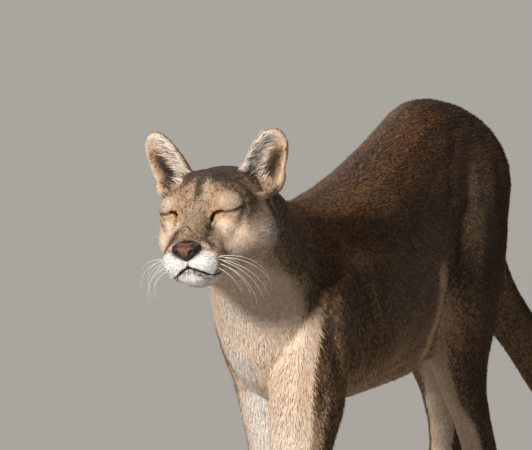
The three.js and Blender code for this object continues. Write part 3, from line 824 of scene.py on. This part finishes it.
def ear_marks(head, normals):
    """The masks of the ears: pale rim, rust-brown cup with painted shade deep inside, pale fringe and
    dark back.
    """
    forward_way = normals @ HEAD_TURN
    masks = {}
    for name, side in SIDES.items():
        outward, rise = to_ear(head, name)
        facing = (forward_way @ ear_turn(name))[:, 0]
        inside = ease(-0.1, 0.35, facing)
        wide = 25 * np.sqrt(np.clip(1 - np.clip(rise - 0.35, 0, 1) ** 2 * 2.2, 0.05, 1))
        rim = np.clip(ease(0.72, 0.98, np.abs(outward) / wide) + ease(0.84, 0.95, rise), 0, 1)
        # The deep part of the cup: rust-brown and darker, partly the ear's own colour and partly painted
        # shade in the hollow
        depth = mound(outward - 11, 9) * ease(0.08, 0.22, rise) * ease(0.85, 0.55, rise)
        fringe = ease(4, -8, outward)
        pale = np.clip(0.55 + 0.4 * rim + 0.35 * fringe, 0, 0.9)
        masks[name] = {
            "rufous": 0.2,
            "cream": inside * pale * (1 - 0.75 * depth) + (1 - inside) * 0.3,
            "orange": inside * (0.75 * depth + 0.18 * rim) + (1 - inside) * 0.15 * rim,
            "white": inside * 0.3 * fringe * (1 - rim),
            "ticked": inside * (0.16 * (1 - rim) + 0.55 * depth) + (1 - inside) * (0.55 - 0.3 * rim),
            # Painted shade: black deep in the cup
            "black": inside * 0.9 * mound(outward - 10, 8) * mound(rise - 0.36, 0.28),
        }
    left = head[:, 1] > 0
    return {key: np.where(left, masks["left"][key], masks["right"][key]) for key in MARKS}


def body_marks(places, normals):
    """The masks of trunk, legs and tail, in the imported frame."""
    x, y, z = places.T
    nx, ny, nz = normals.T
    side = np.where(y > 0, 1.0, -1.0)
    legs = ease(0.47, 0.36, z) * (x > -0.4)
    tail = ease(-0.3, -0.335, x - 0.12 * np.clip(z - 0.4, 0, 1)) * (z < 0.72) * (np.abs(y) < 0.075)
    tail = np.where((x < -0.345) | ((x < -0.31) & (z > 0.55)), tail, 0)
    inward = ease(0.05, 0.7, -ny * side) * legs
    fore = ease(0.2, 0.3, x)
    lean = nx - 0.55 * ny * side
    # Cream on the leg fronts, wider and stronger low on the hind legs, is partly their pale coat and
    # partly painted sunlight on the sides facing the light
    shin = ease(0.33, 0.27, z)
    front = ease(0.1, 0.95, nx - 0.1 * ny * side) * fore
    front += ease(0.5 - 0.45 * shin, 0.92 - 0.35 * shin, lean) * (1 - fore)
    bib = ease(0.08, 0.062, np.abs(y)) * ease(0.455, 0.48, x) * ease(0.625, 0.595, z) * (z > 0.44)
    breast = ease(0.25, 0.8, nx - 0.4 * np.abs(ny)) * ease(0.36, 0.43, x) * ease(0.72, 0.6, z)
    throat = ease(-0.2, -0.75, nz) * ease(0.42, 0.5, x) * ease(0.45, 0.52, z)
    belly = ease(-0.15, -0.8, nz) * ease(0.5, 0.43, z) * ease(0.26, 0.33, z)
    low = ease(0.56, 0.42, z) * (1 - legs)
    body = places / MM
    groin = spot(body, (-30, 62, 455), 48) * ease(0.1, 0.7, nx)
    flank_fold = mound(gap_to_line(body, FLANK_FOLD), 17)
    # The forelegs' cream front is partly their pale coat and partly painted sunlight on the side that
    # faces the light
    arm_front = ease(0.12, 1.0, nx - 0.35 * ny * side) * fore * ease(0.62, 0.5, z)
    feet = ease(0.13, 0.05, z)
    leg_cream = (0.55 + 0.35 * np.maximum(fore, shin)) * front + inward * (0.35 + 0.65 * fore)
    leg_cream = np.clip(leg_cream + 0.35 * feet, 0, 1) * legs
    # The belly takes only a little cream: painted shade under the body over its pale coat
    cream = 0.95 * np.maximum(breast, 0.85 * bib) + 0.75 * throat + 0.3 * belly + leg_cream
    # The flank fold's cream includes a painted highlight
    cream += 0.9 * arm_front + 0.4 * groin + 0.55 * flank_fold + 0.04 * low
    cream = np.clip(cream, 0, 0.95) * (1 - tail)
    white = 0.62 * mound(gap_to_line(body, CHEST_PATCH), 29)
    white += 0.3 * mound(size(body - BREAST_SPOT), 30)
    white += 0.22 * inward * ease(0.46, 0.4, z) * fore + 0.14 * breast * ease(0.58, 0.52, z)
    white = np.clip(white, 0, 0.9) * (1 - tail)
    rufous = ease(-0.1, 0.75, nz) * ease(0.46, 0.58, z) * (1 - 0.4 * ease(0.3, 0.5, x))
    # The low terms add warm red, partly the lower flank's tan and partly painted warm bounce light
    rufous = np.clip(rufous + 0.35 * low + 0.35 * legs * (1 - leg_cream), 0, 1)
    spine = mound(y - 0.008, 0.028) * ease(0.75, 0.95, nz) * (z > 0.6)
    ticked = 0.6 + 0.16 * spine - 0.6 * cream - 0.04 * low * (1 - cream)
    # Painted light and shade on the hindquarters: lighter where they face up, darker toward the rear
    ticked -= 0.12 * ease(0.15, 0.75, nz) * ease(-0.18, -0.05, x)
    ticked += 0.26 * ease(-0.02, -0.16, x) * ease(0.2, 0.4, z) * (1 - cream)
    ticked *= 1 - white
    tail_top = ease(0.0, 0.45, nz - 0.35 * nx)
    tail_tip = ease(-0.695, -0.735, x)
    ticked = np.where(tail > 0.5, 0.58 + 0.42 * tail_top + 0.5 * tail_tip, ticked)
    cream += 0.15 * tail * ease(0.1, -0.6, nz) * (1 - tail_tip)
    rufous = np.where(tail > 0.5, 0.5, rufous)
    # Orange low down and on the belly: partly their tan, partly painted warm bounce light
    orange = 0.12 - 0.08 * breast * ease(0.6, 0.52, z) + 0.36 * low + 0.04 * bib
    orange += 0.2 * belly * (1 - legs)
    # Painted shade: the coat darkens along the deepest folds of the shoulders and forelegs
    creases = [mound(gap_to_line(body, line), 5.0) for line, depth, _ in BODY_STROKES
               if depth < CREASE_DEPTH]
    ticked = np.clip(ticked, 0, 1) + 0.1 * np.max(creases, axis=0) * (z < 0.6) * (x > 0.3)
    white = np.maximum(white, 0.35 * mound(gap_to_line(body, NECK_STREAK), 7))
    return {"rufous": rufous, "cream": np.clip(cream, 0, 0.95), "orange": orange * (1 - white),
            "white": white, "ticked": np.clip(ticked, 0.02, 1.2), "black": 0.75 * tail_tip * tail}


def markings(places, normals, on_ear):
    head = to_head(places)
    on_head = ease(-50, -26, head[:, 0] + 0.3 * head[:, 2]) * ease(-108, -86, head[:, 2])
    body = body_marks(places, normals)
    face = face_marks(head)
    ears = ear_marks(head, normals)
    result = {}
    for key in MARKS:
        value = body[key] * (1 - on_head) + face[key] * on_head
        result[key] = np.clip(value * (1 - on_ear) + ears[key] * on_ear, 0, 1.2)
    return result


def add_attribute(mesh, name, values):
    attribute = mesh.attributes.new(name, "FLOAT", "POINT")
    attribute.data.foreach_set("value", values.astype(np.float32))


# Tufts

# Wraps: bands of a leg's height, a tuft's size and the empty edge
BAND = 0.04
BANDS = 22
UV_HAIR = 0.0015
UV_EDGE = 0.005

# Tufts: their turn off the coat's way, the slope of their sides for the light, and the calm of cream ones
SWAY = 0.22
HEAD_TILT = 0.95
BODY_TILT = 0.6
CREAM_TILT = 0.35
BODY_CALM = 0.75
FRINGE_HAIRS = 480


def band_middles(z, values):
    """The middle value in each place's band of height."""
    levels = np.clip(((z + BAND) / BAND).astype(int), 0, BANDS - 1)
    middles = [np.median(values[levels == k]) if (levels == k).any() else 0 for k in range(BANDS)]
    return np.array(middles)[levels]


def region_uv(places, kind):
    """A wrap of the skin's own shape for one part of the body, each axis from 0 to 1."""
    x, y, z = places.T
    if kind == "head":
        head = to_head(places) + (0, 0, 10)
        around = np.arctan2(head[:, 1], head[:, 0])
        along = np.arctan2(head[:, 2], np.hypot(head[:, 0], head[:, 1])) / math.pi + 0.5
    elif kind == "trunk":
        around = np.arctan2(y, z - 0.55)
        along = (x + 0.4) / 1.0
    elif kind == "tail":
        along = (-0.24 - x) / 0.56
        around = np.arctan2(y - 0.01, z - 0.662 + 0.504 * along)
    else:
        around = np.arctan2(y - band_middles(z, y), x - band_middles(z, x))
        along = z / 0.8
    spots = np.stack([around / (2 * math.pi) + 0.5, np.clip(along, 0, 1)], 1)
    return spots * (1 - 2 * UV_EDGE) + UV_EDGE


def build_tufts(name, skin, faces, count, kind, rng):
    """One coat piece: closed, tapered tufts rooted in the given faces of the skin."""
    corners = skin.places[faces]
    sides = corners[:, 1:] - corners[:, :1]
    area = 0.5 * size(np.cross(sides[:, 0], sides[:, 1]))
    bare = skin.marks["black"][faces].mean(1) * (skin.head[faces][:, :, 0].mean(1) > 40)
    weight = area / np.maximum(skin.sizes[:, 1][faces].mean(1), 1e-4) ** 0.9
    steps = np.cumsum(weight * ease(0.72, 0.45, bare))
    picks = (np.arange(count) + rng.random(count)) / count * steps[-1]
    face = np.minimum(np.searchsorted(steps, picks), len(faces) - 1)
    a, b = np.sqrt(rng.random(count)), rng.random(count)
    share = np.stack([1 - a, a * (1 - b), a * b], 1)[:, :, None]

    def at_root(values):
        return (values[faces[face]] * share).sum(1)

    root = at_root(skin.places)
    normal = unit(at_root(skin.normals))
    way = at_root(skin.lie)
    depth, length, width = at_root(skin.sizes).T
    way = unit(way - (way * normal).sum(1, keepdims=True) * normal)
    across = np.cross(normal, way)
    swing = rng.normal(0, SWAY, count)
    way = unit(way * np.cos(swing)[:, None] + across * np.sin(swing)[:, None])
    across = np.cross(normal, way)
    length = length * rng.uniform(0.7, 1.2, count)
    lift = np.clip(depth * rng.uniform(0.45, 1.1, count) / length, 0.04, 0.6)
    half = 0.5 * width * rng.uniform(0.7, 1.3, count)
    tip = root + (way * np.sqrt(1 - lift ** 2)[:, None] + normal * lift[:, None]) * length[:, None]
    foot = root - normal * ROOT_DEPTH
    thick = (0.3 * width)[:, None]
    verts = np.stack([foot - across * half[:, None], foot + across * half[:, None],
                      foot + normal * (thick + 0.3 * MM) - way * thick, tip], 1).reshape(-1, 3)
    verts[:, 2] = np.maximum(verts[:, 2], LOWEST_HAIR)
    on_ear = at_root(skin.ears[:, None])[:, 0]
    marks = markings(at_root(skin.plain), unit(at_root(skin.plain_normals)), on_ear)
    tilt, calm = HEAD_TILT, 0.0
    if kind != "head":
        tilt, calm = (BODY_TILT - CREAM_TILT * marks["cream"])[:, None], BODY_CALM
    slopes = np.stack([normal - across * tilt, normal + across * tilt, normal, normal], 1)
    return tuft_mesh(name, verts, slopes, marks, region_uv(root, kind), rng, calm)


def tuft_mesh(name, verts, slopes, marks, spots, rng, calm=0.0):
    """Tufts of four corners each, shaded by the given slopes; calm evens out cream ones' tones."""
    count = len(verts) // 4
    pattern = np.array([[0, 3, 2], [2, 3, 1], [1, 3, 0], [0, 2, 1]])
    triangles = (np.arange(count)[:, None, None] * 4 + pattern).reshape(-1, 3)
    coat = bpy.data.meshes.new(name)
    coat.vertices.add(len(verts))
    set_places(coat, verts)
    coat.loops.add(triangles.size)
    coat.loops.foreach_set("vertex_index", triangles.astype(np.int32).ravel())
    coat.polygons.add(len(triangles))
    coat.polygons.foreach_set("loop_start", np.arange(0, triangles.size, 3, dtype=np.int32))
    coat.update(calc_edges=True)
    coat.shade_smooth()
    coat.normals_split_custom_set_from_vertices(unit(slopes).reshape(-1, 3).tolist())
    for key in MARKS:
        add_attribute(coat, key, np.repeat(marks[key], 4))
    # The tip runs from 0 at the root to 1 at the tip; the coat colour darkens the root end as painted
    # shade
    add_attribute(coat, "tip", np.tile([0.0, 0.0, 0.15, 1.0], count))
    strand = 0.5 + (rng.random(count) - 0.5) * (1 - calm * marks["cream"])
    add_attribute(coat, "strand", np.repeat(strand, 4))
    uv = coat.uv_layers.new(name="OFBake")
    patch = np.array([(-1, -1), (1, -1), (0, 0), (0, 1)]) * UV_HAIR
    uv.data.foreach_set("uv", (spots[:, None] + patch)[:, pattern].astype(np.float32).ravel())
    return add_object(name, coat)


def build_ear_fringe(skin, rng):
    """Long pale hairs that stand across each ear from its inner edge and its foot."""
    count = FRINGE_HAIRS
    verts, slopes, marks, spots = [], [], [], []
    for name, side in SIDES.items():
        outward, rise = to_ear(skin.head, name)
        facing = (skin.plain_normals @ HEAD_TURN @ ear_turn(name))[:, 0]
        edge = (outward < -2) & (rise > -0.05) & (rise < 0.84)
        foot = (outward < 8) & (rise > -0.1) & (rise < 0.16)
        good = (skin.ears > 0.3) & (facing > 0.05) & (skin.head[:, 1] * side > 0) & (edge | foot)
        choice = rng.choice(np.flatnonzero(good), count)
        root = skin.places[choice] + rng.normal(0, 0.8 * MM, (count, 3))
        normal = skin.normals[choice]
        low = ease(0.25, 0.0, rise[choice])
        local = np.stack([np.full(count, 0.25), side * (0.55 - 0.4 * low), 0.8 + 0.1 * low], 1)
        local += rng.normal(0, 0.17, local.shape)
        way = unit(local @ ear_turn(name).T @ HEAD_TURN.T + normal * 0.25)
        across = unit(np.cross(normal, way))
        length = rng.uniform(8, 16, count) * ease(1.0, 0.7, rise[choice]) * MM
        half = rng.uniform(0.35, 0.65, count) * MM
        ridge = np.cross(way, across) * 0.56 * MM
        verts.append(np.stack([root - across * half[:, None], root + across * half[:, None],
                               root + ridge, root + way * length[:, None]], 1).reshape(-1, 3))
        slopes.append(np.stack([normal - across * 0.6, normal + across * 0.6, normal, normal], 1))
        tone = rng.random(count)
        none = np.zeros(count)
        # Dark hairs among the fringe, more at its foot, are painted shade between the pale hairs
        marks.append({"rufous": none, "cream": none + 0.9, "orange": 0.1 * tone, "black": none,
                      "white": 0.2 + 0.5 * tone, "ticked": 0.9 * (tone < 0.1 + 0.15 * low)})
        spots.append(region_uv(root, "head"))
    joined = {key: np.concatenate([m[key] for m in marks]) for key in MARKS}
    return tuft_mesh("ear_fringe", np.concatenate(verts), np.concatenate(slopes), joined,
                     np.concatenate(spots), rng)


# Nose pad and whiskers

def build_nose():
    nose = add_object("nose_pad", mesh_from(merged_copy("nose"), "nose_pad"))
    with_modifier(nose, "REMESH", mode="VOXEL", voxel_size=NOSE_VOXEL, use_smooth_shade=True)
    relax(nose.data, np.ones(len(nose.data.vertices)), 5)
    head = to_head(places_of(nose.data))
    ay, hz = np.abs(head[:, 1]), head[:, 2]
    half = 7.6 - 4.8 * ease(-24, -33, hz)
    rim = ease(half - 0.6, half + 1.4, ay) + ease(-17.0, -15.0, hz) + ease(-31, -35, hz)
    cleft = 0.7 * ease(1.3, 0.5, ay) * ease(-25, -28, hz)
    add_attribute(nose.data, "black", np.clip(rim + cleft, 0, 1))
    nose.data.materials.append(leather_material())
    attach(nose, "root")
    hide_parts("nose")


def add_hair(bm, start, end, sag, radius, steps=10, sides=5):
    """A tapered hair from start to end, bent by sag at its middle."""
    start, end, sag = Vector(start), Vector(end), Vector(sag)
    made = bmesh.ops.create_circle(bm, cap_ends=True, segments=sides, radius=radius)
    ring = made["verts"]
    circle = [v.co.copy() / radius for v in ring]
    edges = list(dict.fromkeys(e for v in ring for e in v.link_edges))
    for i in range(steps + 1):
        t = i / steps
        if i:
            made = bmesh.ops.extrude_edge_only(bm, edges=edges)["geom"]
            ring = [g for g in made if isinstance(g, bmesh.types.BMVert)]
            new = set(ring)
            edges = [g for g in made if isinstance(g, bmesh.types.BMEdge) and set(g.verts) <= new]
        centre = start.lerp(end, t) + sag * (4 * t * (1 - t))
        ahead = (end - start) + sag * (4 * (1 - 2 * t))
        turn = ahead.to_track_quat("Z", "Y").to_matrix()
        for k, vert in enumerate(ring):
            vert.co = centre + turn @ circle[k] * (radius * (1 - 0.85 * t))
    bmesh.ops.pointmerge(bm, verts=ring, merge_co=end)


# Whiskers in mm in the head's frame: root, tip and how far the middle hangs out of the straight line
WHISKERS = (
    ((118, 38, -38), (78, 84, -70), (3, 9, 8)),
    ((114, 39, -40), (74, 88, -84), (4, 10, 8)),
    ((119, 37, -42), (70, 82, -97), (4, 11, 8)),
    ((115, 38, -44), (76, 74, -106), (5, 11, 6)),
    ((120, 36, -47), (84, 72, -112), (5, 12, 7)),
    ((116, 37, -48), (80, 64, -100), (5, 9, 4)),
    ((121, 34, -52), (96, 58, -98), (5, 8, 3)),
    ((109, 40, -42), (82, 58, -70), (2, 5, 2)),
    ((122, 33, -38), (104, 62, -64), (3, 8, 5)),
)
FINE_WHISKERS = (
    ((76, 34, 27), (82, 46, 46), (4, 0, 3)),
    ((73, 40, 28), (75, 54, 44), (4, 2, 3)),
    ((46, 66, -18), (32, 84, -24), (0, 3, 2)),
)
WHISKER_SPREAD = 2.5


def build_whiskers(rng):
    bm = bmesh.new()
    for side in SIDES.values():
        for hairs, radius in ((WHISKERS, 0.33), (FINE_WHISKERS, 0.14)):
            for root, tip, sag in hairs:
                start = from_head(on_side(root, side))
                end = from_head(on_side(tip + rng.normal(0, WHISKER_SPREAD, 3), side))
                add_hair(bm, start, end, HEAD_TURN @ on_side(sag, side) * MM, radius * MM)
    bmesh.ops.recalc_face_normals(bm, faces=bm.faces)
    whiskers = add_object("whiskers", mesh_from(bm, "whiskers"))
    whiskers.data.materials.append(
        grained_material("whisker", 0.35, 400.0, (0.84, 0.82, 0.78, 1), (0.95, 0.94, 0.91, 1)))
    whiskers.data.shade_smooth()
    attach(whiskers, "root")


# The whole animal

FORE = ("upper_arm", "forearm", "fore_pastern", "fore_paw")
HIND = ("thigh", "shank", "metatarsus", "hind_paw")
# Pieces of the coat: name, kinds of node, tufts, wrap, slot, and whether each side has its own
PIECES = (
    ("coat_head", ("head", "ear"), 49500, "head", "coat_face", False),
    ("coat_neck", ("neck",), 30000, "trunk", "coat_pale", False),
    ("coat_fore", FORE, 36000, "leg", "coat_back", True),
    ("coat_hind", HIND, 43000, "leg", "coat_back", True),
    ("coat_tail", ("tail",), 26000, "tail", "coat_tail", False),
    ("coat_torso", ("torso",), 49500, "trunk", "coat_back", True),
)


def grow_skin(flesh, group):
    """The finished skin's values at its vertices, which the coat grows from, and its triangles."""
    skin = build_skin(flesh)
    mesh = skin.data
    owner, sizes, lie = coat_fields(mesh, flesh)
    plain = places_of(mesh)
    plain_normals = normals_of(mesh)
    head = to_head(plain)
    set_places(mesh, plain - plain_normals * sizes[:, :1])
    sculpt(mesh)
    relax(mesh, spot(head, EAR_AT, EAR_FOOT) ** 0.5, 8)
    sizes[:, 1] = clear_lines(head, sizes[:, 1])
    is_ear = np.array([n.startswith("ear") for n in flesh])[owner].astype(float)
    ears = spread(mesh, is_ear[:, None], 6)[:, 0]
    marks = markings(plain, plain_normals, ears)
    for key, values in marks.items():
        add_attribute(mesh, key, values)
    mesh.materials.append(skin_material(group))
    mesh.shade_smooth()
    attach(skin, "root")
    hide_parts(*flesh)
    mesh.calc_loop_triangles()
    values = SimpleNamespace(
        places=places_of(mesh), normals=normals_of(mesh), plain=plain, head=head,
        plain_normals=plain_normals, sizes=sizes, lie=lie, ears=ears, marks=marks, owner=owner)
    return values, read(mesh.loop_triangles, "vertices", 3, np.int32)


def finish_coat(piece, material):
    piece.data.materials.append(material)
    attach(piece, "root")


def build_coat(skin, triangles, flesh, material, rng):
    """All pieces of the coat, each with the tufts of its own faces of the skin."""
    face_owner = skin.owner[triangles[:, 0]]
    on_left = skin.places[triangles].mean(1)[:, 1] > 0
    for name, kinds, count, wrap, slot, paired in PIECES:
        for side in SIDES if paired else ("",):
            wanted = [kind_of(n) in kinds and (n == "torso" or n.endswith(side)) for n in flesh]
            chosen = np.array(wanted)[face_owner]
            if kinds == ("torso",):
                chosen &= on_left == (side == "left")
            full = f"{name}_{side}" if side else name
            finish_coat(build_tufts(full, skin, triangles[chosen], count, wrap, rng), material)
    finish_coat(build_ear_fringe(skin, rng), material)


def finish_eyes():
    material = grained_material("eye", 0.14, 300.0, (0.01, 0.007, 0.006, 1), (0.028, 0.018, 0.011, 1))
    for name in EYES:
        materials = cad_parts[name].data.materials
        materials.clear()
        materials.append(material)


def build_cougar():
    rng = np.random.default_rng(SEED)
    flesh = sorted(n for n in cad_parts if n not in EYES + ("nose",))
    group = coat_colour_group()
    skin, triangles = grow_skin(flesh, group)
    build_coat(skin, triangles, flesh, coat_material(group), rng)
    build_nose()
    build_whiskers(rng)
    finish_eyes()


build_camera()
build_studio()
build_cougar()

bpy.context.view_layer.update()
